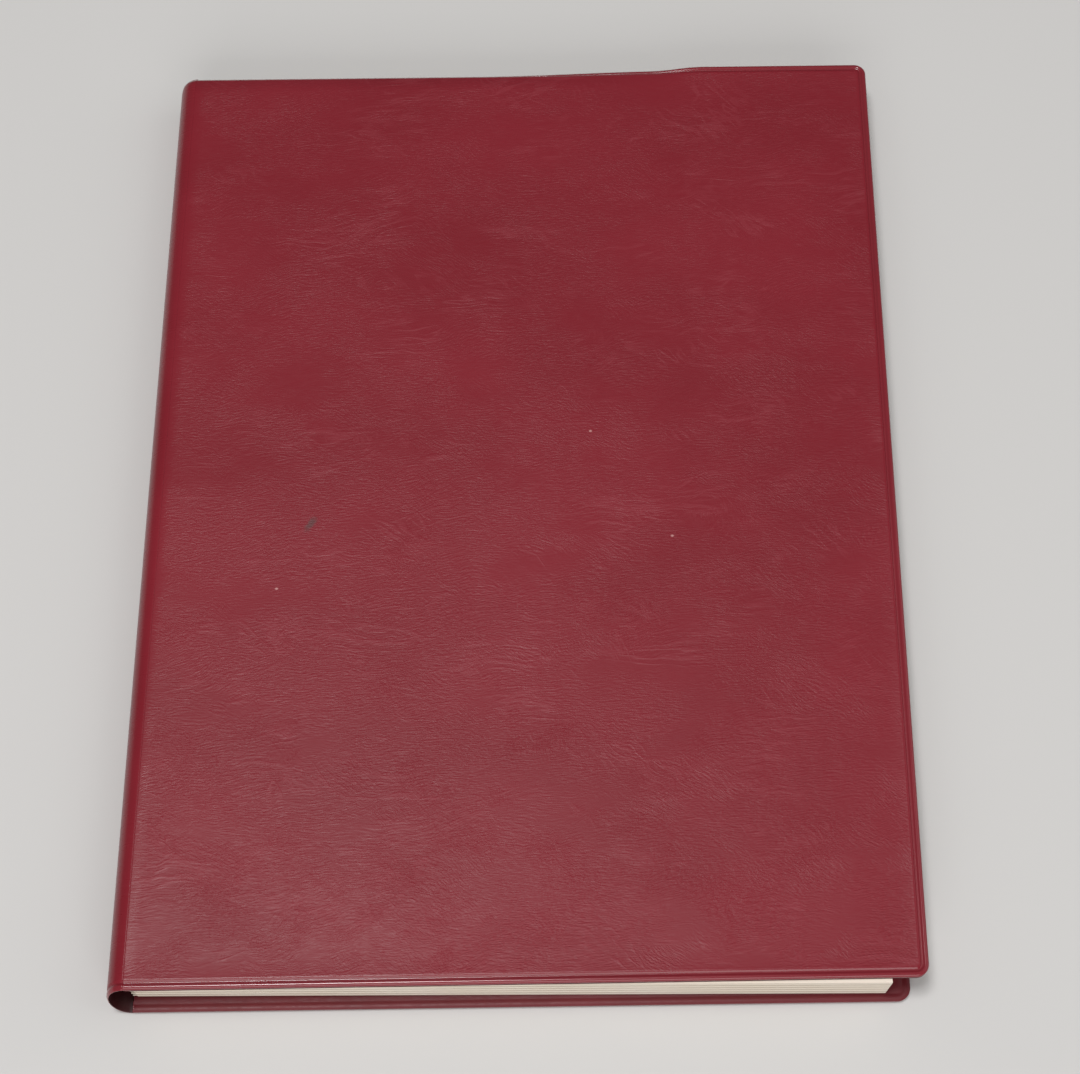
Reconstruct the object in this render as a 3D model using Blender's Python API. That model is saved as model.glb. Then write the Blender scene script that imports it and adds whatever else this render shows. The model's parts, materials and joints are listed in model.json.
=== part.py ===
"""Coin album: a welded vinyl wrap cover round five thick die-cut coin leaves.

The album lies closed on its back cover. +X runs from the spine to the fore edge, +Y from the tail
to the head and +Z from the back cover to the front cover. The origin is the middle of the footprint,
on the surface that the album lies on. Sizes below are in millimetres.
"""

import math

import bmesh
import bpy
from mathutils import Matrix

MM = 0.001

# Clearance between flat pieces that lie on each other, and how far a cutter runs past what it cuts
PLY_GAP = 0.08
CUT_OVERRUN = 1.0

# Coin leaves: JIS B5 sheets
LEAF_COUNT = 5
LEAF_WIDTH = 182.0
LEAF_HEIGHT = 257.0
BOARD_THICKNESS = 2.2
TONGUE_THICKNESS = 0.5
TONGUE_LENGTH = 1.0
TONGUE_START = 0.4

# Coin wells, in columns along X and rows along Y
WELL_COLUMNS = 3
WELL_ROWS = 4
WELL_RADIUS = 19.0
WELL_SEGMENTS = 20
COLUMN_END_MARGIN = 7.5
ROW_END_MARGIN = 8.5

# Channels under the face card, and the clear slides that run in them
FACE_CARD_THICKNESS = 0.3
CHANNEL_HEIGHT = 0.4
SLIDE_THICKNESS = 0.25
SLIDE_WIDTH = 44.0
SLIDE_SIDE_GAP = 0.4
SLIDE_END_MARGIN = 5.0
SLIDE_SETBACK = 0.6
NOTCH_RADIUS = 8.0
NOTCH_SEGMENTS = 16

# Clear film glued behind the wells
FILM_THICKNESS = 0.1
FILM_GLUE = 0.05
FILM_MARGIN = 4.0

# Cover plies, from the outside inwards
SKIN_THICKNESS = 0.5
STIFFENER_THICKNESS = 0.4
END_LEAF_THICKNESS = 0.4
POCKET_THICKNESS = 0.25
POCKET_SPINE_MARGIN = 6.0
CORNER_RADIUS = 4.5
CORNER_SEGMENTS = 8

# Welded rim of the cover: an outer bead, then a pressed groove
BEAD_WIDTH = 1.7
GROOVE_WIDTH = 0.9
GROOVE_DEPTH = 0.22
GROOVE_SLOPE = 0.3
RIM_SIDE_GAP = 0.3
END_LEAF_RIM_GAP = 0.9
STIFFENER_SPINE_MARGIN = 3.0
END_LEAF_SPINE_MARGIN = 0.5

# Squares: how far the covers reach past the leaves at head and tail, and each one at the fore edge
HEAD_TAIL_SQUARE = 2.5
BACK_FORE_SQUARE = 7.0
FRONT_FORE_SQUARE = 9.6

# How far the soft front cover has slipped towards the head
FRONT_HEAD_SLIP = 1.2

# Hollow spine and the block's binding tape
SPINE_BULGE = 5.0
SPINE_THICKNESS = 0.5
SPINE_SEGMENTS = 14
LEAF_AXIS_FROM_SPINE = 4.0
COVER_AXIS_FROM_SPINE = 2.0
TAPE_THICKNESS = 0.4
TAPE_END_MARGIN = 3.0

# Sizes that follow from the ones above
COVER_THICKNESS = SKIN_THICKNESS + STIFFENER_THICKNESS + END_LEAF_THICKNESS + POCKET_THICKNESS + 3 * PLY_GAP
RIM_WIDTH = BEAD_WIDTH + GROOVE_WIDTH
COVER_HEIGHT = LEAF_HEIGHT + 2 * HEAD_TAIL_SQUARE
END_LEAF_HEIGHT = COVER_HEIGHT - 2 * (RIM_WIDTH + END_LEAF_RIM_GAP)
WELL_COLUMN_PITCH = (LEAF_WIDTH - TONGUE_LENGTH - 2 * COLUMN_END_MARGIN) / WELL_COLUMNS
WELL_ROW_PITCH = (LEAF_HEIGHT - 2 * ROW_END_MARGIN) / WELL_ROWS
LEAF_PITCH = BOARD_THICKNESS + FILM_GLUE + FILM_THICKNESS + PLY_GAP
BLOCK_THICKNESS = LEAF_COUNT * LEAF_PITCH + PLY_GAP
ALBUM_THICKNESS = 2 * COVER_THICKNESS + BLOCK_THICKNESS
MID_HEIGHT = ALBUM_THICKNESS / 2
COVER_START = SPINE_BULGE + PLY_GAP
LEAF_END = LEAF_AXIS_FROM_SPINE + TONGUE_START + LEAF_WIDTH
BACK_COVER_WIDTH = LEAF_END + BACK_FORE_SQUARE - COVER_START
FRONT_COVER_WIDTH = LEAF_END + FRONT_FORE_SQUARE - COVER_START
ALBUM_WIDTH = COVER_START + max(BACK_COVER_WIDTH, FRONT_COVER_WIDTH)

# Colours as linear RGB, with roughness, metallic value and opacity
VINYL = ("cover_vinyl", (0.20, 0.024, 0.032), 0.42, 0.0, 1.0)
LINING = ("lining_vinyl", (0.13, 0.014, 0.020), 0.36, 0.0, 1.0)
STIFFENER = ("grey_card", (0.34, 0.31, 0.27), 0.85, 0.0, 1.0)
CARD = ("cream_card", (0.80, 0.74, 0.62), 0.75, 0.0, 1.0)
TAPE = ("binding_cloth", (0.76, 0.71, 0.60), 0.90, 0.0, 1.0)
CLEAR = ("clear_film", (0.92, 0.95, 0.96), 0.08, 0.0, 0.25)


def clear_scene():
    for old in list(bpy.data.objects):
        bpy.data.objects.remove(old)


def material(look):
    name, colour, roughness, metallic, opacity = look
    found = bpy.data.materials.get(name)
    if found:
        return found
    made = bpy.data.materials.new(name)
    made.use_nodes = True
    shader = made.node_tree.nodes["Principled BSDF"]
    shader.inputs["Base Color"].default_value = (*colour, 1.0)
    shader.inputs["Roughness"].default_value = roughness
    shader.inputs["Metallic"].default_value = metallic
    shader.inputs["Alpha"].default_value = opacity
    return made


def place(name, mesh, look, parent, at=(0.0, 0.0, 0.0), turn=(0.0, 0.0, 0.0)):
    """Links a mesh as a named piece under a parent, at a place in millimetres."""
    piece = bpy.data.objects.new(name, mesh)
    bpy.context.scene.collection.objects.link(piece)
    if not mesh.materials:
        mesh.materials.append(material(look))
    piece.parent = parent
    piece.location = [value * MM for value in at]
    piece.rotation_euler = turn
    return piece


def axis_empty(name, parent, at):
    empty = bpy.data.objects.new(name, None)
    bpy.context.scene.collection.objects.link(empty)
    empty.parent = parent
    empty.location = [value * MM for value in at]
    return empty


def mesh_from(name, build):
    """Runs a bmesh builder that works in millimetres and returns its mesh in metres."""
    shape = bmesh.new()
    build(shape)
    bmesh.ops.recalc_face_normals(shape, faces=shape.faces)
    shape.transform(Matrix.Scale(MM, 4))
    mesh = bpy.data.meshes.new(name)
    shape.to_mesh(mesh)
    shape.free()
    return mesh


def prism(shape, outline, low, high):
    """Adds a closed prism on an anticlockwise XY outline, and returns its lower and upper faces."""
    lower = [shape.verts.new((x, y, low)) for x, y in outline]
    upper = [shape.verts.new((x, y, high)) for x, y in outline]
    for i in range(len(outline)):
        shape.faces.new((lower[i - 1], lower[i], upper[i], upper[i - 1]))
    bottom = shape.faces.new(lower[::-1])
    top = shape.faces.new(upper)
    shape.normal_update()
    return bottom, top


def rectangle(left, right, tail, head):
    return [(left, tail), (right, tail), (right, head), (left, head)]


def rounded_panel(left, right, height, radius):
    """A rectangle whose two fore-edge corners are arcs."""
    half = height / 2
    points = [(left, -half)]
    for corner_y, start in ((-half + radius, -math.pi / 2), (half - radius, 0.0)):
        for step in range(CORNER_SEGMENTS + 1):
            angle = start + math.pi / 2 * step / CORNER_SEGMENTS
            points.append((right - radius + radius * math.cos(angle), corner_y + radius * math.sin(angle)))
    points.append((left, half))
    return points


def flat_sheet(name, outline, low, high):
    return mesh_from(name, lambda shape: prism(shape, outline, low, high))


def inset(shape, face, width, depth):
    bmesh.ops.inset_region(shape, faces=[face], thickness=width, depth=depth, use_even_offset=True)


def cover_skin(name, width):
    """One cover panel: grained sheet, welded rim with its groove, and a recess inside for the plies.

    The outer face lies at z = 0 and the spine end at x = 0. The panel is made longer at the spine
    and cut there, so that the rim runs out along the head and the tail as it does on the wrap.
    """
    rim_depth = COVER_THICKNESS - POCKET_THICKNESS - PLY_GAP
    overrun = 4 * RIM_WIDTH

    def build(shape):
        outline = rounded_panel(-overrun, width, COVER_HEIGHT, CORNER_RADIUS)
        bottom, top = prism(shape, outline, -rim_depth, 0.0)
        inset(shape, top, BEAD_WIDTH, 0.0)
        inset(shape, top, GROOVE_SLOPE, -GROOVE_DEPTH)
        inset(shape, top, GROOVE_WIDTH - 2 * GROOVE_SLOPE, 0.0)
        inset(shape, top, GROOVE_SLOPE, GROOVE_DEPTH)
        inset(shape, bottom, RIM_WIDTH, 0.0)
        inset(shape, bottom, 0.0, -(rim_depth - SKIN_THICKNESS))
        everything = [*shape.verts, *shape.edges, *shape.faces]
        cut = bmesh.ops.bisect_plane(
            shape, geom=everything, plane_co=(0.0, 0.0, 0.0), plane_no=(-1.0, 0.0, 0.0), clear_outer=True
        )
        rim = [part for part in cut["geom_cut"] if isinstance(part, bmesh.types.BMEdge)]
        bmesh.ops.contextual_create(shape, geom=rim)

    return mesh_from(name, build)


def add_cover(side, width, parent, at, turn):
    """The plies of one cover, stacked inwards from its outer face."""
    place(f"{side}_cover_skin", cover_skin(f"{side}_cover_skin", width), VINYL, parent, at, turn)
    inner_width = width - RIM_WIDTH - RIM_SIDE_GAP
    inner_height = COVER_HEIGHT - 2 * (RIM_WIDTH + RIM_SIDE_GAP)
    inner_radius = CORNER_RADIUS - RIM_WIDTH - RIM_SIDE_GAP
    end_half = END_LEAF_HEIGHT / 2
    plies = (
        ("stiffener", STIFFENER_THICKNESS, STIFFENER,
         rounded_panel(STIFFENER_SPINE_MARGIN, inner_width, inner_height, inner_radius)),
        ("end_leaf", END_LEAF_THICKNESS, CARD,
         rectangle(END_LEAF_SPINE_MARGIN, END_LEAF_SPINE_MARGIN + LEAF_WIDTH, -end_half, end_half)),
        ("pocket", POCKET_THICKNESS, LINING,
         rounded_panel(POCKET_SPINE_MARGIN, width, COVER_HEIGHT, CORNER_RADIUS)),
    )
    depth = SKIN_THICKNESS
    for ply, thickness, look, outline in plies:
        depth += PLY_GAP
        name = f"{side}_{ply}"
        place(name, flat_sheet(name, outline, -depth - thickness, -depth), look, parent, at, turn)
        depth += thickness


def spine_sheet():
    """The hollow spine: half an ellipse from cover to cover, sheared by the front cover's slip."""
    half = COVER_HEIGHT / 2

    def point(angle, inwards):
        across = (SPINE_BULGE - inwards) * math.cos(angle)
        rise = (MID_HEIGHT - inwards) * math.sin(angle)
        return SPINE_BULGE - across, MID_HEIGHT + rise

    def build(shape):
        angles = [math.pi * (step / SPINE_SEGMENTS - 0.5) for step in range(SPINE_SEGMENTS + 1)]
        profile = [point(a, 0.0) for a in angles] + [point(a, SPINE_THICKNESS) for a in reversed(angles)]
        ends = []
        for y in (-half, half):
            ring = []
            for x, z in profile:
                slip = FRONT_HEAD_SLIP * z / ALBUM_THICKNESS
                ring.append(shape.verts.new((x, y + slip, z)))
            ends.append(ring)
        count = len(profile)
        for i in range(count):
            j = (i + 1) % count
            shape.faces.new((ends[0][i], ends[0][j], ends[1][j], ends[1][i]))
        for ring in ends:
            for i in range(SPINE_SEGMENTS):
                shape.faces.new((ring[i], ring[i + 1], ring[count - 2 - i], ring[count - 1 - i]))

    return mesh_from("spine_skin", build)


def column_centres():
    board_start = TONGUE_START + TONGUE_LENGTH
    middle = (board_start + TONGUE_START + LEAF_WIDTH) / 2
    return [middle + (i - (WELL_COLUMNS - 1) / 2) * WELL_COLUMN_PITCH for i in range(WELL_COLUMNS)]


def row_centres():
    return [(i - (WELL_ROWS - 1) / 2) * WELL_ROW_PITCH for i in range(WELL_ROWS)]


def round_cutter(shape, centre, radius, low, high, segments):
    x, y = centre
    turn = 2 * math.pi / segments
    outline = [(x + radius * math.cos(turn * i), y + radius * math.sin(turn * i)) for i in range(segments)]
    prism(shape, outline, low, high)


def cut_away(mesh, cutter_mesh):
    """The mesh with the cutter's solids taken out of it."""
    piece = bpy.data.objects.new("uncut", mesh)
    cutter = bpy.data.objects.new("cutter", cutter_mesh)
    for helper in (piece, cutter):
        bpy.context.scene.collection.objects.link(helper)
        helper.hide_render = True
        helper.display_type = "WIRE"
    difference = piece.modifiers.new("difference", "BOOLEAN")
    difference.operation = "DIFFERENCE"
    difference.solver = "EXACT"
    difference.object = cutter
    graph = bpy.context.evaluated_depsgraph_get()
    made = bpy.data.meshes.new_from_object(piece.evaluated_get(graph))
    bpy.data.objects.remove(piece)
    bpy.data.objects.remove(cutter)
    return made


def channel_start():
    return column_centres()[0] - WELL_RADIUS - SLIDE_END_MARGIN


def leaf_board():
    """A coin leaf: thin hinge tongue at the binding, laminated board, wells, slide channels and notches.

    The hinge axis of the leaves is at x = 0, and the middle of the board at z = 0.
    """
    top = BOARD_THICKNESS / 2
    board_start = TONGUE_START + TONGUE_LENGTH
    leaf_end = TONGUE_START + LEAF_WIDTH
    half = LEAF_HEIGHT / 2
    ceiling = top - FACE_CARD_THICKNESS
    rows = row_centres()

    def blank(shape):
        tongue = TONGUE_THICKNESS / 2
        profile = [
            (TONGUE_START, -tongue), (board_start, -tongue), (board_start, -top), (leaf_end, -top),
            (leaf_end, top), (board_start, top), (board_start, tongue), (TONGUE_START, tongue),
        ]
        end = shape.faces.new([shape.verts.new((x, -half, z)) for x, z in profile])
        grown = bmesh.ops.extrude_face_region(shape, geom=[end])["geom"]
        moved = [part for part in grown if isinstance(part, bmesh.types.BMVert)]
        bmesh.ops.translate(shape, verts=moved, vec=(0.0, 2 * half, 0.0))

    def channels(shape):
        reach = SLIDE_WIDTH / 2 + SLIDE_SIDE_GAP
        for y in rows:
            outline = rectangle(channel_start(), leaf_end + CUT_OVERRUN, y - reach, y + reach)
            prism(shape, outline, ceiling - CHANNEL_HEIGHT, ceiling)

    def wells(shape):
        for x in column_centres():
            for y in rows:
                round_cutter(shape, (x, y), WELL_RADIUS, -top - CUT_OVERRUN, top + CUT_OVERRUN, WELL_SEGMENTS)

    def notches(shape):
        for y in rows:
            middle = ceiling - CHANNEL_HEIGHT / 2
            round_cutter(shape, (leaf_end, y), NOTCH_RADIUS, middle, top + CUT_OVERRUN, NOTCH_SEGMENTS)

    board = mesh_from("leaf", blank)
    for name, cutter in (("channels", channels), ("wells", wells), ("notches", notches)):
        board = cut_away(board, mesh_from(name, cutter))
    board.name = "leaf"
    return board


def slide_strip():
    """A clear strip over one row of wells, seated on its channel's floor."""
    floor = BOARD_THICKNESS / 2 - FACE_CARD_THICKNESS - CHANNEL_HEIGHT
    low = floor + PLY_GAP / 2
    start = channel_start() + SLIDE_SIDE_GAP
    end = TONGUE_START + LEAF_WIDTH - SLIDE_SETBACK
    outline = rectangle(start, end, -SLIDE_WIDTH / 2, SLIDE_WIDTH / 2)
    return flat_sheet("slide", outline, low, low + SLIDE_THICKNESS)


def back_film():
    """The clear sheet glued behind all the wells of a leaf."""
    columns, rows = column_centres(), row_centres()
    reach = WELL_RADIUS + FILM_MARGIN
    outline = rectangle(columns[0] - reach, columns[-1] + reach, rows[0] - reach, rows[-1] + reach)
    high = -BOARD_THICKNESS / 2 - FILM_GLUE
    return flat_sheet("back_film", outline, high - FILM_THICKNESS, high)


def add_leaves(album):
    """Coin leaves from the top down, all turning about one axis inside the binding."""
    axis = axis_empty("leaf_axis", album, (LEAF_AXIS_FROM_SPINE, 0.0, MID_HEIGHT))
    board, strip, film = leaf_board(), slide_strip(), back_film()
    top_leaf = ALBUM_THICKNESS - COVER_THICKNESS - PLY_GAP - BOARD_THICKNESS / 2
    for number in range(1, LEAF_COUNT + 1):
        rise = top_leaf - (number - 1) * LEAF_PITCH - MID_HEIGHT
        leaf = place(f"leaf_{number}", board, CARD, axis, (0.0, 0.0, rise))
        place(f"leaf_{number}_back_film", film, CLEAR, leaf)
        for row, y in enumerate(row_centres(), start=1):
            place(f"leaf_{number}_slide_{row}", strip, CLEAR, leaf, (0.0, y, 0.0))


def binding_tape():
    """The cloth tape that holds the tongues of all the leaves together at the spine."""
    right = LEAF_AXIS_FROM_SPINE + TONGUE_START - PLY_GAP
    half = LEAF_HEIGHT / 2 - TAPE_END_MARGIN
    low = COVER_THICKNESS + PLY_GAP
    outline = rectangle(right - TAPE_THICKNESS, right, -half, half)
    return flat_sheet("binding_tape", outline, low, ALBUM_THICKNESS - low)


def main():
    clear_scene()
    album = axis_empty("album", None, (-ALBUM_WIDTH / 2, -FRONT_HEAD_SLIP / 2, 0.0))
    add_cover("back", BACK_COVER_WIDTH, album, (COVER_START, 0.0, 0.0), (math.pi, 0.0, 0.0))
    place("spine_skin", spine_sheet(), VINYL, album)
    place("binding_tape", binding_tape(), TAPE, album)
    cover_axis = axis_empty("front_cover_axis", album, (COVER_AXIS_FROM_SPINE, 0.0, MID_HEIGHT))
    front_at = (COVER_START - COVER_AXIS_FROM_SPINE, FRONT_HEAD_SLIP, ALBUM_THICKNESS - MID_HEIGHT)
    add_cover("front", FRONT_COVER_WIDTH, cover_axis, front_at, (0.0, 0.0, 0.0))
    add_leaves(album)


main()
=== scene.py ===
import json
import math

import bmesh
import bpy
from mathutils import Matrix, Vector, noise


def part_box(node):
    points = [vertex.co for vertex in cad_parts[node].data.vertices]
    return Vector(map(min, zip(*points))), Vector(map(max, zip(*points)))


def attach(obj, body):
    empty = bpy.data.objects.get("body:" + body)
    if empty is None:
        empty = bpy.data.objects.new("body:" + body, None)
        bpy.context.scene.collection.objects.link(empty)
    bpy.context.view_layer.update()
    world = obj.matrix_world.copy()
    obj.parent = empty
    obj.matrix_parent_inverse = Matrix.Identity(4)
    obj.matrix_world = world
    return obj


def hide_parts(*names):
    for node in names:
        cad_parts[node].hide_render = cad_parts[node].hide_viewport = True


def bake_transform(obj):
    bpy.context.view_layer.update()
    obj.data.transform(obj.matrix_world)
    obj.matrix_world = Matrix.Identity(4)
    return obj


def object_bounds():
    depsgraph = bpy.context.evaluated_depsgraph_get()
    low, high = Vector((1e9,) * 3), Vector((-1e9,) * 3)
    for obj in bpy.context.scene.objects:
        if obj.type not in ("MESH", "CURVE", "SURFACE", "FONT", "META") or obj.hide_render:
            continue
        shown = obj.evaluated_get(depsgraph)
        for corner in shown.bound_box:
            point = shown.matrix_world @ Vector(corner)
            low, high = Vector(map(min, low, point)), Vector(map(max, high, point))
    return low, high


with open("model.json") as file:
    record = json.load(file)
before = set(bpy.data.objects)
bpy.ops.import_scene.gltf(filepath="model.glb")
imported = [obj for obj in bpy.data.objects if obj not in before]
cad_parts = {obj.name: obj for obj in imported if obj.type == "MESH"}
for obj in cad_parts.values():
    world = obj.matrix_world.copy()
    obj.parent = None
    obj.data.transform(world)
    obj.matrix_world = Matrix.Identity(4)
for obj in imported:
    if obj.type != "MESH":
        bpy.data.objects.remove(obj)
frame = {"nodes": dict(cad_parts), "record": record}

cad_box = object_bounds()

MM = 0.001

# Camera, fitted to the corners of the album in the photograph
CAMERA_PLACE = Vector((4.27 * MM, -234.76 * MM, 518.09 * MM))
CAMERA_AZIMUTH = math.radians(-0.25)
CAMERA_ELEVATION = math.radians(66.28)
CAMERA_FOCAL_PX = 2126.0
PHOTO_WIDTH_PX = 1080.0
SENSOR_WIDTH_MM = 36.0

# Vinyl: two shades of burgundy, the pale colour painted on the tops of its creases and wrinkles (part wear,
# part painted highlight of sheen on the ridges), and two kinds of mark
VINYL_DEEP = (0.190, 0.0105, 0.0190)
VINYL_PALE = (0.215, 0.0135, 0.0235)
VINYL_WORN_AND_SHEEN = (0.38, 0.085, 0.105)
RUB_COLOUR = (0.095, 0.045, 0.045)
SPECK_COLOUR = (0.52, 0.26, 0.25)
WRINKLE_WARP = (0.010, 0.005, 0.0)

# Fine wrinkles: direction in degrees, cells a metre along and across it, and where its patches start and end
RIPPLES = (
    (2.0, 470.0, 2300.0, 0.28, 0.60),
    (-36.0, 520.0, 2000.0, 0.48, 0.66),
    (22.0, 500.0, 2100.0, 0.46, 0.66),
    (80.0, 520.0, 2000.0, 0.56, 0.72),
)

# Longer creases: direction in degrees, cells a metre along and across it, and where its patches start
CREASES = (
    (0.0, 36.0, 300.0, 0.52),
    (-42.0, 80.0, 290.0, 0.54),
    (17.0, 48.0, 300.0, 0.54),
    (-75.0, 110.0, 380.0, 0.60),
)
CREASE_WIDTH = 0.060
CREASE_PATCH = 0.14
# Paler tops: on the creases part wear and part painted highlight, on the fine wrinkles a painted highlight of
# sheen on their crests
CREASE_WEAR_AND_SHEEN_TINT = 0.12
RIPPLE_SHEEN_TINT = 0.42
CREASE_DEPTH = 0.000030
RIPPLE_DEPTH = 0.000140
GRAIN_ROUGH = (0.37, 0.45)
RIM_ROUGH = 0.25
RIM_COAT = 0.6
RIM_COAT_ROUGH = 0.16
VINYL_SPECULAR = 0.27

# Lining vinyl, darker than the cover vinyl as painted shade for the strip under the overhanging block, and
# the inside of the spine painted near black as shade
LINING_SHADED_DEEP = (0.115, 0.0075, 0.0125)
LINING_SHADED_PALE = (0.135, 0.0095, 0.0155)
HOLLOW_SHADE_DEEP = (0.030, 0.003, 0.004)
HOLLOW_SHADE_PALE = (0.040, 0.004, 0.006)

# Cream card, and the painted shade along a board's cut edge beside the gaps, measured from the gap between
# two boards
CARD_PALE = (0.86, 0.785, 0.69)
CARD_DEEP = (0.81, 0.72, 0.60)
GAP_SHADE_COLOUR = (0.40, 0.28, 0.19)
GAP_SHADE_START = 0.15
GAP_SHADE_END = 0.50
GREY_PALE = (0.36, 0.33, 0.29)
GREY_DEEP = (0.30, 0.275, 0.24)

# Binding cloth and clear plastic
CLOTH_DEEP = (0.50, 0.44, 0.34)
CLOTH_PALE = (0.76, 0.71, 0.60)
WEAVE_SCALE = 380.0
CLEAR_COLOUR = (0.94, 0.97, 0.98, 1.0)
CLEAR_ALPHA = 0.16
CLEAR_IOR = 1.46

# Marks on the front cover, measured from its spine end and its middle height
RUB_PLACE = (0.0389, -0.0111)
RUB_SIZE = (0.0030, 0.0013)
RUB_TURN = math.radians(57.0)
SPECK_PLACES = ((0.1115, 0.0147), (0.1324, -0.0159), (0.0310, -0.0291))
SPECK_SIZE = (0.00045, 0.00035)

# Welded rim of the covers, as (distance in from the edge, height) from the inner edge round to the panel
RIM_PROFILE = (
    (0.95, -1.46), (0.42, -1.42), (0.12, -1.20), (0.00, -0.85), (0.07, -0.48), (0.28, -0.20),
    (0.58, -0.04), (0.86, 0.00), (1.12, -0.05), (1.32, -0.24), (1.50, -0.37), (1.80, -0.37),
    (1.98, -0.24), (2.14, -0.03), (2.34, 0.06), (2.70, 0.04),
)
RIM_INNER = 2.6
RIM_SMOOTH_START = 2.1
RIM_SMOOTH_END = 3.0
POCKET_RIM = (
    (2.30, 0.00), (2.00, 0.10), (1.70, 0.10), (1.40, 0.00),
    (0.90, -0.10), (0.40, -0.06), (0.00, 0.10),
)
POCKET_REACH = 5.8
CORNER_RADIUS = 3.2
PLY_CORNER_RADIUS = 1.2
CORNER_STEPS = 9
SKIN_THICKNESS = 0.5

# Grids of a cover panel, of its inner plies and of the tape
PANEL_COLUMNS = 64
PANEL_ROWS = 60
PLY_COLUMNS = 30
PLY_ROWS = 40
TAPE_COLUMNS = 26
TAPE_ROWS = 40

# Slack of the soft covers: skew, and the head edge that rolls down and then runs on flat as a lip
TAIL_SKEW = 2.4
HEAD_SKEW = 1.8
BACK_SKEW_SPINE = -1.2
BACK_SKEW_FORE = 0.7
SIDE_SKEW = 0.0065
HEAD_LIP_START = 130.0
HEAD_LIP_RUN = 14.0
HEAD_EASE_START = 80.0
HEAD_EASE_END = 135.0
HEAD_EASE = 0.5
HEAD_ROLL = 2.3
HEAD_PULL = 1.0
HEAD_ROLL_WIDTH = 3.8
PANEL_WAVE = 0.20
WAVE_LENGTH = (42.0, 34.0)
WAVE_SEED = 0.3
WAVE_FADE_SPINE = 12.0
WAVE_FADE_EDGE = 7.0

# Spine grid, and how far its smooth surface runs out onto the panels
SPINE_STEPS = 40
SPINE_ROWS = 84
SPINE_ENDS = (0.0, 0.25, 0.6, 1.0, 1.2, 1.4, 1.55, 1.8, 2.0, 2.15, 2.6, 3.4, 4.5)
SPINE_GROOVE = 0.30
SPINE_GROOVE_PLACE = (1.20, 1.55, 1.80, 2.15)
SPINE_END_ROLL = 0.35
SPINE_END_ROLL_WIDTH = 0.7
SPINE_REACH_START = 0.86
SPINE_SMOOTHNESS = 0.82
SHOULDER_START = 0.0
SHOULDER_END = 3.5
SHARP_ANGLE = math.radians(50.0)

# Studio: the world, the floor, and each light's name, place, size and power
WORLD_STRENGTH = 0.22
WORLD_COLOUR = (1.0, 0.98, 0.95, 1.0)
FLOOR_COLOUR = (0.62, 0.61, 0.60, 1.0)
FLOOR_HALF = 4.0
FLOOR_DROP = 0.0001
LIGHTS = (
    ("key", (-0.19, -0.08, 1.40), (0.36, 0.30), 11.0),
    ("front", (0.00, -1.60, 0.90), (1.8, 1.0), 15.0),
    ("right", (1.10, 0.00, 0.90), (1.2, 1.2), 3.0),
)


def unit(value):
    return value * MM


def smooth(low, high, value):
    t = min(1.0, max(0.0, (value - low) / (high - low)))
    return t * t * (3.0 - 2.0 * t)


# Node helpers


def new_material(name):
    made = bpy.data.materials.new(name)
    made.use_nodes = True
    tree = made.node_tree
    return made, tree, tree.nodes["Principled BSDF"]


def add_node(tree, kind, **values):
    node = tree.nodes.new(kind)
    for key, value in values.items():
        if key in node.inputs:
            node.inputs[key].default_value = value
        else:
            setattr(node, key, value)
    return node


def attribute(tree, name):
    return add_node(tree, "ShaderNodeAttribute", attribute_name=name).outputs["Vector"]


def scaled(tree, vector, scale, offset=(0.0, 0.0, 0.0)):
    node = add_node(tree, "ShaderNodeMapping")
    node.inputs["Scale"].default_value = scale
    node.inputs["Location"].default_value = offset
    tree.links.new(vector, node.inputs["Vector"])
    return node.outputs["Vector"]


def noise_of(tree, vector, scale, detail=3.0, roughness=0.5, distortion=0.0, output="Fac"):
    node = add_node(tree, "ShaderNodeTexNoise")
    node.inputs["Scale"].default_value = scale
    node.inputs["Detail"].default_value = detail
    node.inputs["Roughness"].default_value = roughness
    node.inputs["Distortion"].default_value = distortion
    tree.links.new(vector, node.inputs["Vector"])
    return node.outputs[output]


def math_of(tree, operation, first, second=None, clamp=False):
    node = add_node(tree, "ShaderNodeMath", operation=operation, use_clamp=clamp)
    for slot, value in enumerate((first, second)):
        if value is None:
            continue
        if isinstance(value, (int, float)):
            node.inputs[slot].default_value = value
        else:
            tree.links.new(value, node.inputs[slot])
    return node.outputs["Value"]


def ramp(tree, factor, low, high, start=0.0, end=1.0):
    node = add_node(tree, "ShaderNodeMapRange")
    node.interpolation_type = "SMOOTHSTEP"
    node.inputs["From Min"].default_value = low
    node.inputs["From Max"].default_value = high
    node.inputs["To Min"].default_value = start
    node.inputs["To Max"].default_value = end
    tree.links.new(factor, node.inputs["Value"])
    return node.outputs["Result"]


def mix_colour(tree, factor, first, second):
    node = add_node(tree, "ShaderNodeMix", data_type="RGBA")
    tree.links.new(factor, node.inputs["Factor"])
    for slot, value in ((6, first), (7, second)):
        if isinstance(value, tuple):
            node.inputs[slot].default_value = (*value, 1.0)
        else:
            tree.links.new(value, node.inputs[slot])
    return node.outputs[2]


def bump(tree, height, distance, strength, normal=None):
    node = add_node(tree, "ShaderNodeBump")
    node.inputs["Distance"].default_value = distance
    node.inputs["Strength"].default_value = strength
    tree.links.new(height, node.inputs["Height"])
    if normal:
        tree.links.new(normal, node.inputs["Normal"])
    return node.outputs["Normal"]


# Materials


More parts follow.
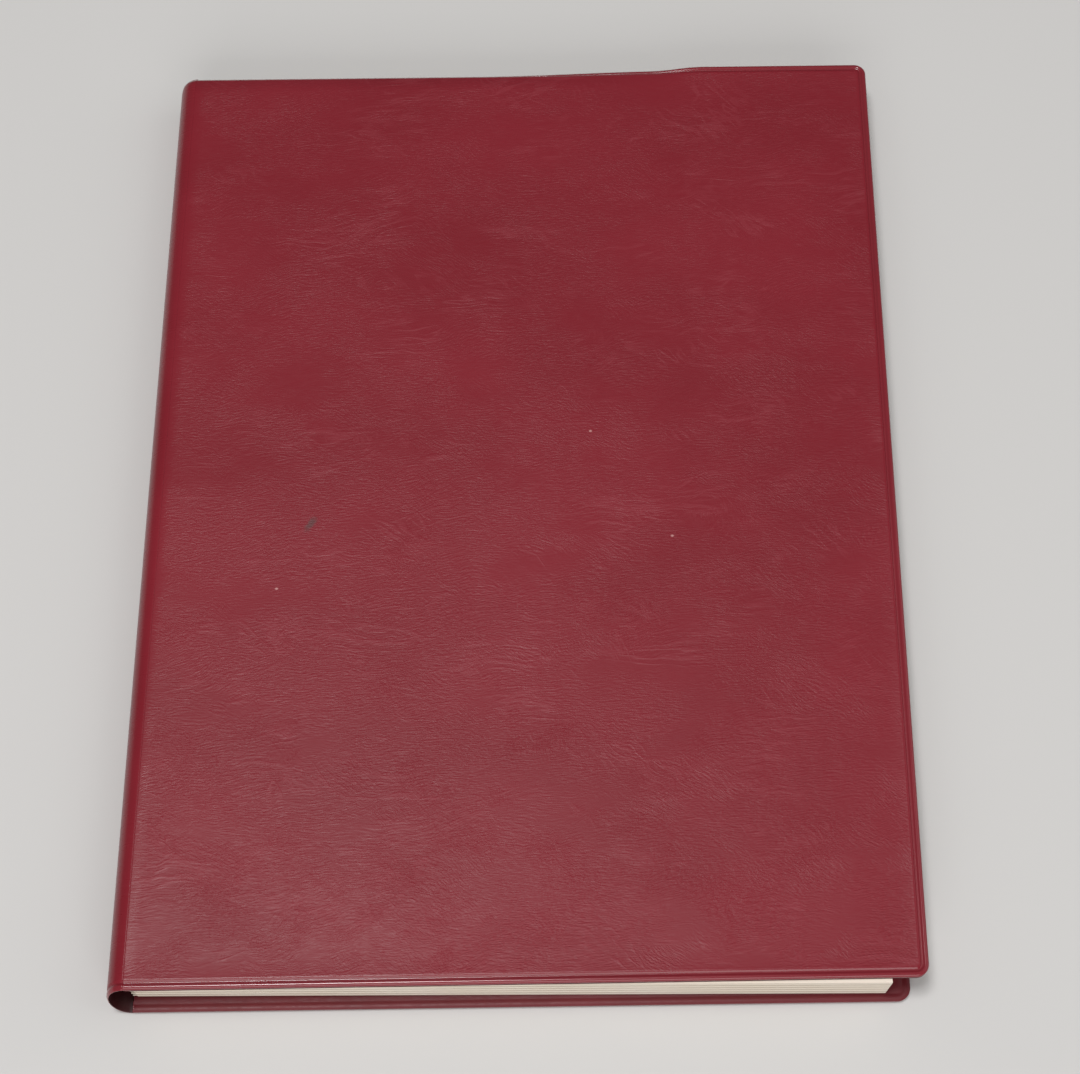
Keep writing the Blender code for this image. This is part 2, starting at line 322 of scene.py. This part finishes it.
def vinyl_material():
    """Burgundy leatherette: fine soft wrinkles and longer creases in patches, and a smooth welded rim."""
    made, tree, shader = new_material("cover_vinyl_grain")
    sheet = attribute(tree, "sheet")
    parts = add_node(tree, "ShaderNodeSeparateXYZ")
    tree.links.new(sheet, parts.inputs[0])
    grained = math_of(tree, "SUBTRACT", 1.0, parts.outputs["Z"])
    warp = noise_of(tree, scaled(tree, sheet, (60.0, 60.0, 0.0)), 1.0, 2.0, 0.5, output="Color")
    bent = add_node(tree, "ShaderNodeVectorMath", operation="MULTIPLY_ADD")
    tree.links.new(warp, bent.inputs[0])
    bent.inputs[1].default_value = WRINKLE_WARP
    tree.links.new(sheet, bent.inputs[2])
    bent = bent.outputs["Vector"]

    ripples = 0.0
    for number, family in enumerate(RIPPLES):
        ripples = math_of(tree, "ADD", ripple_layer(tree, bent, sheet, number, *family), ripples)
    creases = 0.0
    for number, family in enumerate(CREASES):
        creases = math_of(tree, "MAXIMUM", crease_layer(tree, bent, sheet, number, *family), creases)
    ripples = math_of(tree, "MULTIPLY", ripples, grained)
    creases = math_of(tree, "MULTIPLY", creases, grained)

    broad = noise_of(tree, scaled(tree, sheet, (14.0, 22.0, 0.0)), 1.0, 3.0, 0.5)
    base = mix_colour(tree, ramp(tree, broad, 0.30, 0.70), VINYL_DEEP, VINYL_PALE)
    # Painted highlight: the crests of the fine wrinkles are painted paler, standing in for sheen on their
    # ridges
    base = mix_colour(tree, math_of(tree, "MULTIPLY", ripples, RIPPLE_SHEEN_TINT, clamp=True), base, VINYL_WORN_AND_SHEEN)
    # The crease tops are painted paler too: part wear, part painted highlight
    base = mix_colour(tree, math_of(tree, "MULTIPLY", creases, CREASE_WEAR_AND_SHEEN_TINT), base, VINYL_WORN_AND_SHEEN)
    base = mix_colour(tree, rub_mask(tree, sheet), base, RUB_COLOUR)
    base = mix_colour(tree, speck_mask(tree, sheet), base, SPECK_COLOUR)
    tree.links.new(base, shader.inputs["Base Color"])

    gloss = noise_of(tree, scaled(tree, bent, (300.0, 900.0, 0.0)), 1.0, 3.0, 0.6)
    rougher = ramp(tree, gloss, 0.3, 0.7, GRAIN_ROUGH[0] - RIM_ROUGH, GRAIN_ROUGH[1] - RIM_ROUGH)
    rough = math_of(tree, "ADD", math_of(tree, "MULTIPLY", rougher, grained), RIM_ROUGH)
    tree.links.new(rough, shader.inputs["Roughness"])
    shader.inputs["Specular IOR Level"].default_value = VINYL_SPECULAR
    tree.links.new(ramp(tree, parts.outputs["Z"], 0.85, 1.0, 0.0, RIM_COAT), shader.inputs["Coat Weight"])
    shader.inputs["Coat Roughness"].default_value = RIM_COAT_ROUGH

    ripples = math_of(tree, "MULTIPLY", ripples, RIPPLE_DEPTH)
    height = math_of(tree, "ADD", ripples, math_of(tree, "MULTIPLY", creases, CREASE_DEPTH))
    normal = bump(tree, height, 1.0, 1.0)
    tree.links.new(normal, shader.inputs["Normal"])
    return made


def drawn_out(tree, vector, degrees, along, across):
    """Coordinates whose cells are long in one direction of the sheet."""
    turned = add_node(tree, "ShaderNodeVectorRotate", rotation_type="Z_AXIS")
    turned.inputs["Angle"].default_value = -math.radians(degrees)
    tree.links.new(vector, turned.inputs["Vector"])
    return scaled(tree, turned.outputs["Vector"], (along, across, 0.0))


def patches(tree, sheet, number, start, end):
    """Where one family of wrinkles shows, in soft patches of a few centimetres."""
    moved = scaled(tree, sheet, (34.0, 52.0, 0.0), (3.1 * number, 1.7 * number, 0.0))
    return ramp(tree, noise_of(tree, moved, 1.0, 3.0, 0.6), start, end)


def ripple_layer(tree, bent, sheet, number, degrees, along, across, start, end):
    """Soft ridges and valleys of a drawn-out noise."""
    field = noise_of(tree, drawn_out(tree, bent, degrees, along, across), 1.0, 3.0, 0.58)
    field = math_of(tree, "SUBTRACT", field, 0.5)
    return math_of(tree, "MULTIPLY", field, patches(tree, sheet, number, start, end))


def crease_layer(tree, bent, sheet, number, degrees, along, across, start):
    """Thin ridges where a drawn-out noise crosses its middle value."""
    field = noise_of(tree, drawn_out(tree, bent, degrees, along, across), 1.0, 2.0, 0.5, 0.3)
    away = math_of(tree, "ABSOLUTE", math_of(tree, "SUBTRACT", field, 0.5))
    line = ramp(tree, away, 0.0, CREASE_WIDTH, 1.0, 0.0)
    where = patches(tree, sheet, number + len(RIPPLES), start, start + CREASE_PATCH)
    return math_of(tree, "MULTIPLY", line, where)


def away_from(tree, sheet, place, size, turn=0.0):
    """Distance from a mark's middle, in shares of its half length and half width."""
    moved = add_node(tree, "ShaderNodeMapping", vector_type="TEXTURE")
    moved.inputs["Location"].default_value = (*place, 0.0)
    moved.inputs["Rotation"].default_value = (0.0, 0.0, turn)
    moved.inputs["Scale"].default_value = (*size, 1.0)
    tree.links.new(sheet, moved.inputs["Vector"])
    length = add_node(tree, "ShaderNodeVectorMath", operation="LENGTH")
    tree.links.new(moved.outputs["Vector"], length.inputs[0])
    return length.outputs["Value"]


def rub_mask(tree, sheet):
    """The one greyish rub mark on the front cover, broken up at its edge."""
    ragged = noise_of(tree, scaled(tree, sheet, (700.0, 1100.0, 0.0)), 1.0, 3.0, 0.6)
    away = away_from(tree, sheet, RUB_PLACE, RUB_SIZE, RUB_TURN)
    return ramp(tree, math_of(tree, "ADD", away, ragged), 0.75, 1.55, 0.75, 0.0)


def speck_mask(tree, sheet):
    """A few pale specks on the front cover."""
    specks = 0.0
    for place in SPECK_PLACES:
        dot = ramp(tree, away_from(tree, sheet, place, SPECK_SIZE), 0.5, 1.2, 0.8, 0.0)
        specks = math_of(tree, "MAXIMUM", dot, specks)
    return specks


def lining_material(name, deep, pale):
    """Smooth vinyl of the inner faces, with faint calender marks."""
    made, tree, shader = new_material(name)
    place = add_node(tree, "ShaderNodeTexCoord").outputs["Object"]
    broad = noise_of(tree, place, 60.0, 4.0, 0.6)
    base = mix_colour(tree, ramp(tree, broad, 0.3, 0.7), deep, pale)
    tree.links.new(base, shader.inputs["Base Color"])
    fine = noise_of(tree, scaled(tree, place, (900.0, 1800.0, 900.0)), 1.0, 2.0, 0.5)
    tree.links.new(ramp(tree, fine, 0.3, 0.7, 0.42, 0.52), shader.inputs["Roughness"])
    shader.inputs["Specular IOR Level"].default_value = 0.35
    tree.links.new(bump(tree, fine, 0.00003, 0.6), shader.inputs["Normal"])
    return made


def card_material(name, pale, deep):
    """Matt card: fibres, and slight yellowing in broad patches."""
    made, tree, shader = new_material(name)
    place = add_node(tree, "ShaderNodeTexCoord").outputs["Object"]
    patch = noise_of(tree, place, 24.0, 4.0, 0.6)
    fibre = noise_of(tree, scaled(tree, place, (900.0, 2600.0, 2600.0)), 1.0, 3.0, 0.6)
    base = mix_colour(tree, ramp(tree, patch, 0.3, 0.7), pale, deep)
    base = mix_colour(tree, ramp(tree, fibre, 0.52, 0.80, 0.0, 0.22), base, tuple(0.72 * c for c in deep))
    tree.links.new(base, shader.inputs["Base Color"])
    shader.inputs["Roughness"].default_value = 0.82
    shader.inputs["Specular IOR Level"].default_value = 0.25
    tree.links.new(bump(tree, fibre, 0.00004, 0.5), shader.inputs["Normal"])
    return made, tree, shader


def board_material(name, pale, deep):
    """Card of the leaves, its cut edges darkened with painted shade along both faces of each board, by the
    gaps between boards.
    """
    made, tree, shader = card_material(name, pale, deep)
    first_low, first_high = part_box("leaf_1")
    next_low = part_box("leaf_2")[0]
    pitch = next_low.z - first_low.z
    gap_middle = (first_high.z + next_low.z) / 2
    coordinates = add_node(tree, "ShaderNodeTexCoord")
    place = add_node(tree, "ShaderNodeSeparateXYZ")
    tree.links.new(coordinates.outputs["Object"], place.inputs[0])
    facing = add_node(tree, "ShaderNodeSeparateXYZ")
    tree.links.new(coordinates.outputs["Normal"], facing.inputs[0])
    # Painted shade: the upright cut edges are darkened in a band by the middle of each gap between boards
    away = math_of(tree, "SUBTRACT", place.outputs["Z"], gap_middle)
    away = math_of(tree, "PINGPONG", away, pitch / 2)
    line = ramp(tree, away, unit(GAP_SHADE_START), unit(GAP_SHADE_END), 0.8, 0.0)
    upright = ramp(tree, math_of(tree, "ABSOLUTE", facing.outputs["Z"]), 0.2, 0.5, 1.0, 0.0)
    plain = shader.inputs["Base Color"].links[0].from_socket
    gap_shaded = mix_colour(tree, math_of(tree, "MULTIPLY", line, upright), plain, GAP_SHADE_COLOUR)
    tree.links.new(gap_shaded, shader.inputs["Base Color"])
    return made


def cloth_material():
    """Cream binding tape with an open plain weave."""
    made, tree, shader = new_material("binding_cloth_weave")
    place = add_node(tree, "ShaderNodeTexCoord").outputs["Object"]
    threads = []
    for direction in ("Y", "Z"):
        wave = add_node(tree, "ShaderNodeTexWave", bands_direction=direction)
        wave.inputs["Scale"].default_value = WEAVE_SCALE
        wave.inputs["Distortion"].default_value = 0.6
        tree.links.new(place, wave.inputs["Vector"])
        threads.append(wave.outputs["Fac"])
    weave = math_of(tree, "MULTIPLY", threads[0], threads[1])
    base = mix_colour(tree, weave, CLOTH_DEEP, CLOTH_PALE)
    tree.links.new(base, shader.inputs["Base Color"])
    shader.inputs["Roughness"].default_value = 0.9
    tree.links.new(bump(tree, weave, 0.00008, 0.7), shader.inputs["Normal"])
    return made


def clear_material():
    """Clear sheet plastic, with faint handling marks in its gloss."""
    made, tree, shader = new_material("clear_film_sheet")
    place = add_node(tree, "ShaderNodeTexCoord").outputs["Object"]
    marks = noise_of(tree, scaled(tree, place, (40.0, 90.0, 40.0)), 1.0, 5.0, 0.7)
    tree.links.new(ramp(tree, marks, 0.45, 0.8, 0.05, 0.22), shader.inputs["Roughness"])
    shader.inputs["Base Color"].default_value = CLEAR_COLOUR
    shader.inputs["Alpha"].default_value = CLEAR_ALPHA
    shader.inputs["IOR"].default_value = CLEAR_IOR
    return made


# Meshes


def mark_sheet(shape, place_of):
    """Keeps each point's place on the flat sheet, and how smooth the vinyl is there, with the mesh."""
    layer = shape.verts.layers.float_vector.new("sheet")
    for vertex in shape.verts:
        vertex[layer] = place_of(*vertex.co)


def finished(name, shape, *looks, smooth_shading=True):
    """Turns a bmesh in metres into a piece."""
    bmesh.ops.recalc_face_normals(shape, faces=shape.faces)
    mesh = bpy.data.meshes.new(name)
    shape.to_mesh(mesh)
    shape.free()
    for look in looks:
        mesh.materials.append(look)
    piece = bpy.data.objects.new(name, mesh)
    bpy.context.scene.collection.objects.link(piece)
    if smooth_shading:
        mesh.shade_smooth()
        mesh.set_sharp_from_angle(angle=SHARP_ANGLE)
    return piece


class Panel:
    """One cover's outline in millimetres, measured from its spine end and its middle height."""

    def __init__(self, node, columns=PANEL_COLUMNS, rows=PANEL_ROWS, radius=CORNER_RADIUS, reach=0.0):
        low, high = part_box(node)
        low = low - Vector((unit(reach), 0.0, 0.0))
        self.low, self.high = low, high
        self.width = (high.x - low.x) / MM
        self.height = (high.y - low.y) / MM
        self.centre_y = (low.y + high.y) / 2
        self.radius = radius
        straight = self.width - radius
        half = self.height / 2 - radius
        self.xs = [straight * i / columns for i in range(columns + 1)]
        self.ys = [-half + 2 * half * j / rows for j in range(rows + 1)]

    def ring(self, inset):
        """Points along tail, fore edge and head, that far in from the outline."""
        half = self.height / 2
        radius = self.radius - inset
        points = [(x, -half + inset) for x in self.xs]
        points += self.arc(-half + self.radius, -90.0, radius)
        points += [(self.width - inset, y) for y in self.ys]
        points += self.arc(half - self.radius, 0.0, radius)
        points += [(x, half - inset) for x in reversed(self.xs)]
        return points

    def arc(self, corner_y, start, radius):
        points = []
        for step in range(1, CORNER_STEPS):
            angle = math.radians(start + 90.0 * step / CORNER_STEPS)
            x = self.width - self.radius + radius * math.cos(angle)
            points.append((x, corner_y + radius * math.sin(angle)))
        return points

    def grid_rim(self, grid):
        """The rim of an inner grid in the order of a ring, its corners repeated along the arcs."""
        corner = CORNER_STEPS - 1
        tail = [grid[i][0] for i in range(len(self.xs))]
        fore = [grid[-1][j] for j in range(len(self.ys))]
        head = [grid[i][-1] for i in reversed(range(len(self.xs)))]
        return tail + [grid[-1][0]] * corner + fore + [grid[-1][-1]] * corner + head


def panel_shape(panel, profile, low_height, high_height):
    """A closed sheet: a lower grid, rings through the profile, an upper grid and the spine end."""
    shape = bmesh.new()

    def grid(height):
        made = [[shape.verts.new((x, y, height)) for y in panel.ys] for x in panel.xs]
        for i in range(len(panel.xs) - 1):
            for j in range(len(panel.ys) - 1):
                shape.faces.new((made[i][j], made[i + 1][j], made[i + 1][j + 1], made[i][j + 1]))
        return made

    chain = [panel.grid_rim(grid(low_height))]
    for inset, height in profile:
        chain.append([shape.verts.new((x, y, height)) for x, y in panel.ring(inset)])
    chain.append(panel.grid_rim(grid(high_height)))
    for one, two in zip(chain, chain[1:]):
        for i in range(len(one) - 1):
            corners = []
            for vertex in (one[i], one[i + 1], two[i + 1], two[i]):
                if vertex not in corners:
                    corners.append(vertex)
            if len(corners) > 2:
                shape.faces.new(corners)
    open_edges = [edge for edge in shape.edges if edge.is_boundary]
    bmesh.ops.contextual_create(shape, geom=open_edges)
    return shape


def head_roll(x, y, panel):
    """How far the front cover's head edge is rolled down, all along but for the flat lip by the fore edge."""
    out = smooth(panel.height / 2 - HEAD_ROLL_WIDTH, panel.height / 2, y)
    lip = smooth(HEAD_LIP_START, HEAD_LIP_START + HEAD_LIP_RUN, x)
    ease = 1.0 - HEAD_EASE * smooth(HEAD_EASE_START, HEAD_EASE_END, x)
    return out * (1.0 - lip) * ease


def soften(shape, panel, front, wave):
    """Gives a flat panel the slack of a soft cover."""
    for vertex in shape.verts:
        x, y, z = vertex.co
        share = x / panel.width
        if front:
            inside = smooth(0.0, WAVE_FADE_SPINE, x) * smooth(0.0, WAVE_FADE_EDGE, panel.width - x)
            inside *= smooth(0.0, WAVE_FADE_EDGE, panel.height / 2 - abs(y))
            rolled = head_roll(x, y, panel)
            swell = noise.noise(Vector((x / WAVE_LENGTH[0], y / WAVE_LENGTH[1], WAVE_SEED)))
            z += wave * inside * (swell - 1.0) / 2 - HEAD_ROLL * rolled
            skew = TAIL_SKEW + (HEAD_SKEW - TAIL_SKEW) * (0.5 + y / panel.height)
            x += SIDE_SKEW * y
            y += share * skew - HEAD_PULL * rolled
        else:
            x -= SIDE_SKEW * y
            y -= BACK_SKEW_SPINE + (BACK_SKEW_FORE - BACK_SKEW_SPINE) * share
        vertex.co = Vector((x, y, z))


def place_panel(shape, panel, front):
    """Moves a panel made in millimetres, outer face up at zero, to its cover in the frame."""
    turn = Matrix.Identity(4) if front else Matrix.Rotation(math.pi, 4, "X")
    outer = panel.high.z if front else panel.low.z
    at = Matrix.Translation(Vector((panel.low.x, panel.centre_y, outer)))
    shape.transform(at @ turn @ Matrix.Scale(MM, 4))


def cover_piece(side, look, spine_length):
    node = f"{side}_cover_skin"
    panel = Panel(node)
    front = side == "front"
    inner = [(RIM_INNER, -SKIN_THICKNESS), (RIM_INNER, RIM_PROFILE[0][1])]
    shape = panel_shape(panel, [*inner, *RIM_PROFILE], -SKIN_THICKNESS, 0.0)

    def sheet_place(x, y, z):
        inset = min(panel.width - x, panel.height / 2 - abs(y))
        rim = smooth(RIM_SMOOTH_END, RIM_SMOOTH_START, inset)
        shoulder = SPINE_SMOOTHNESS * smooth(SHOULDER_END, SHOULDER_START, x)
        along = x * MM if front else -spine_length - x * MM
        return along, y * MM if front else -y * MM, max(rim, shoulder)

    mark_sheet(shape, sheet_place)
    soften(shape, panel, front, PANEL_WAVE)
    place_panel(shape, panel, front)
    piece = finished(f"{side}_cover", shape, look)
    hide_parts(node)
    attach(piece, f"{side}_cover")


def ply_piece(side, ply, look, cover):
    """An inner ply of a cover, following the cover's own slack. The pocket has a welded rim of its own."""
    node = f"{side}_{ply}"
    front = side == "front"
    pocket = ply == "pocket"
    radius = CORNER_RADIUS if pocket else PLY_CORNER_RADIUS
    reach = POCKET_REACH if pocket else 0.0
    panel = Panel(node, PLY_COLUMNS, PLY_ROWS, radius, reach)
    outer = cover.high.z if front else cover.low.z
    top, bottom = sorted(-abs(value - outer) / MM for value in (panel.low.z, panel.high.z))
    rim = [(inset, top + height) for inset, height in (POCKET_RIM if pocket else ((0.0, 0.0),))]
    shape = panel_shape(panel, [*rim, (0.0, bottom)], top, bottom)
    shift_x = (panel.low.x - cover.low.x) / MM
    shift_y = (panel.centre_y - cover.centre_y) / MM * (1 if front else -1)
    shape.transform(Matrix.Translation((shift_x, shift_y, 0.0)))
    soften(shape, cover, front, 0.0)
    place_panel(shape, cover, front)
    piece = finished(f"{side}_{ply}_sheet", shape, look)
    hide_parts(node)
    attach(piece, f"{side}_cover")


def spine_half(name, look, shaded_inside_look, first, last):
    """Half of the hollow spine, an ellipse in section, its ends pressed like the covers' rim; its inner faces
    take a near-black painted shade.
    """
    low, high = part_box("spine_skin")
    front_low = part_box("front_cover_skin")[0]
    back_low, back_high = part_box("back_cover_skin")
    bulge = high.x - low.x
    half_rise = (high.z - low.z) / 2
    slip = front_low.y - back_low.y
    length = back_high.y - back_low.y
    reach = front_low.x - high.x
    arc_length = spine_arc()
    shape = bmesh.new()

    first_row = SPINE_ENDS[-1]
    span = length / MM - 2 * first_row
    middle = [first_row + span * i / SPINE_ROWS for i in range(1, SPINE_ROWS)]
    stations = [*SPINE_ENDS, *middle, *(length / MM - value for value in reversed(SPINE_ENDS))]

    def pressed(station):
        away = min(station, length / MM - station)
        outer_start, outer_end, inner_end, inner_start = SPINE_GROOVE_PLACE
        groove = SPINE_GROOVE * smooth(outer_start, outer_end, away) * smooth(inner_start, inner_end, away)
        rolled = SPINE_END_ROLL * smooth(SPINE_END_ROLL_WIDTH, 0.0, away)
        return unit(groove + rolled)

    def section(station, inner):
        points = []
        for step in range(first, last + 1):
            angle = math.pi * (step / SPINE_STEPS - 0.5)
            inward = unit(SKIN_THICKNESS) if inner else pressed(station)
            across = (bulge - inward) * math.cos(angle)
            z = low.z + half_rise + (half_rise - inward) * math.sin(angle)
            up = (z - low.z) / (2 * half_rise)
            rolled = up * smooth(length / MM - HEAD_ROLL_WIDTH, length / MM, station)
            y = back_low.y + unit(station) + slip * up
            y += unit(BACK_SKEW_SPINE * (1.0 - up) - HEAD_PULL * rolled)
            x = high.x - across + reach * smooth(SPINE_REACH_START, 1.0, abs(math.sin(angle)))
            x += SIDE_SKEW * (y - (back_low.y + back_high.y) / 2)
            points.append(shape.verts.new((x, y, z - unit(HEAD_ROLL * rolled * up))))
        return points

    outer = [section(station, False) for station in stations]
    inner = [section(station, True) for station in stations]
    for slot, rows in enumerate((outer, inner)):
        for one, two in zip(rows, rows[1:]):
            for i in range(last - first):
                face = shape.faces.new((one[i], one[i + 1], two[i + 1], two[i]))
                face.material_index = slot
    for row in (0, -1):
        for i in range(last - first):
            shape.faces.new((outer[row][i], outer[row][i + 1], inner[row][i + 1], inner[row][i]))
    for column in (0, -1):
        for a in range(len(stations) - 1):
            shape.faces.new((outer[a][column], outer[a + 1][column], inner[a + 1][column], inner[a][column]))

    def sheet_place(x, y, z):
        inset = min(y - low.y, high.y - y)
        rim = smooth(RIM_SMOOTH_END, RIM_SMOOTH_START, inset / MM)
        return arc_length * ((z - low.z) / (high.z - low.z) - 1.0), y, max(rim, SPINE_SMOOTHNESS)

    shape.verts.index_update()
    seam = [row[-1 if first == 0 else 0].index for row in outer]
    mark_sheet(shape, sheet_place)
    piece = finished(name, shape, look, shaded_inside_look)
    normals = [Vector() for vertex in piece.data.vertices]
    for index in seam:
        normals[index] = Vector((-1.0, 0.0, 0.0))
    piece.data.normals_split_custom_set_from_vertices(normals)
    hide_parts("spine_skin")
    return piece


def spine_pieces(look, shaded_inside_look):
    """The spine in two halves: the lower half runs from the back cover up to the spine's fold and keeps its
    place; the upper is attached to the front cover.
    """
    lower = spine_half("spine_wrap_lower", look, shaded_inside_look, 0, SPINE_STEPS // 2)
    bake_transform(lower)
    upper = spine_half("spine_wrap_upper", look, shaded_inside_look, SPINE_STEPS // 2, SPINE_STEPS)
    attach(upper, "front_cover")


def spine_arc():
    low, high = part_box("spine_skin")
    a, b = high.x - low.x, (high.z - low.z) / 2
    return math.pi * (3 * (a + b) - math.sqrt((3 * a + b) * (a + 3 * b))) / 2


def tape_piece(look):
    """The binding tape, made as a fine grid."""
    low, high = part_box("binding_tape")
    shape = bmesh.new()
    bmesh.ops.create_grid(shape, x_segments=TAPE_COLUMNS, y_segments=TAPE_ROWS, size=0.5)
    tall, long = high.z - low.z, high.y - low.y
    for vertex in shape.verts:
        u, v = vertex.co.x + 0.5, vertex.co.y + 0.5
        vertex.co = Vector((low.x, low.y + long * v, low.z + tall * u))
    bmesh.ops.solidify(shape, geom=shape.faces[:], thickness=-(high.x - low.x))
    piece = finished("binding_tape_cloth", shape, look, smooth_shading=False)
    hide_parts("binding_tape")
    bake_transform(piece)


def paint(node, look):
    piece = frame["nodes"][node]
    piece.data.materials.clear()
    piece.data.materials.append(look)


# Stage


def add_camera():
    data = bpy.data.cameras.new("camera")
    data.lens = CAMERA_FOCAL_PX / PHOTO_WIDTH_PX * SENSOR_WIDTH_MM
    data.sensor_width = SENSOR_WIDTH_MM
    data.clip_start, data.clip_end = 0.01, 20.0
    camera = bpy.data.objects.new("camera", data)
    bpy.context.scene.collection.objects.link(camera)
    a, e = CAMERA_AZIMUTH, CAMERA_ELEVATION
    back = Vector((math.sin(a) * math.cos(e), -math.cos(a) * math.cos(e), math.sin(e)))
    camera.location = CAMERA_PLACE
    camera.rotation_mode = "QUATERNION"
    camera.rotation_quaternion = (-back).to_track_quat("-Z", "Y")
    bpy.context.scene.camera = camera


def add_floor():
    made, tree, shader = new_material("pale_floor")
    shader.inputs["Base Color"].default_value = FLOOR_COLOUR
    shader.inputs["Roughness"].default_value = 0.9
    shape = bmesh.new()
    bmesh.ops.create_grid(shape, x_segments=1, y_segments=1, size=FLOOR_HALF)
    shape.transform(Matrix.Translation((0.0, 0.0, cad_box[0].z - FLOOR_DROP)))
    finished("floor", shape, made, smooth_shading=False)


def add_light(name, place, size, power):
    data = bpy.data.lights.new(name, "AREA")
    data.shape = "RECTANGLE"
    data.size, data.size_y = size
    data.energy = power
    lamp = bpy.data.objects.new(name, data)
    bpy.context.scene.collection.objects.link(lamp)
    lamp.location = place
    lamp.rotation_mode = "QUATERNION"
    lamp.rotation_quaternion = (-Vector(place)).to_track_quat("-Z", "Y")


def add_world():
    world = bpy.data.worlds.new("studio")
    world.use_nodes = True
    background = world.node_tree.nodes["Background"]
    background.inputs["Color"].default_value = WORLD_COLOUR
    background.inputs["Strength"].default_value = WORLD_STRENGTH
    bpy.context.scene.world = world


def main():
    bpy.context.scene.view_settings.view_transform = "Standard"
    vinyl = vinyl_material()
    # The lining is painted darker than the cover vinyl: painted shade
    lining = lining_material("lining_vinyl_painted_shade", LINING_SHADED_DEEP, LINING_SHADED_PALE)
    # The inside of the spine is painted near black: painted shade in the hollow
    hollow = lining_material("spine_hollow_painted_shade", HOLLOW_SHADE_DEEP, HOLLOW_SHADE_PALE)
    board = board_material("cream_board_fibre", CARD_PALE, CARD_DEEP)
    card = card_material("cream_card_fibre", CARD_PALE, CARD_DEEP)[0]
    grey = card_material("grey_card_fibre", GREY_PALE, GREY_DEEP)[0]
    clear = clear_material()
    cloth = cloth_material()

    looks = {
        "stiffener": (grey, "grey_card"),
        "end_leaf": (card, "cream_card"),
        "pocket": (lining, "lining_vinyl"),
    }
    for side in ("back", "front"):
        cover_piece(side, vinyl, spine_arc())
        for ply, (look, slot) in looks.items():
            ply_piece(side, ply, look, Panel(f"{side}_cover_skin"))
    spine_pieces(vinyl, hollow)
    tape_piece(cloth)
    for subpart in frame["record"]["subparts"]:
        node, slot = subpart["node"], subpart["material_slot"]
        if slot == "clear_film":
            paint(node, clear)
        elif node.startswith("leaf_"):
            paint(node, board)

    add_camera()
    add_floor()
    add_world()
    for light in LIGHTS:
        add_light(*light)


main()
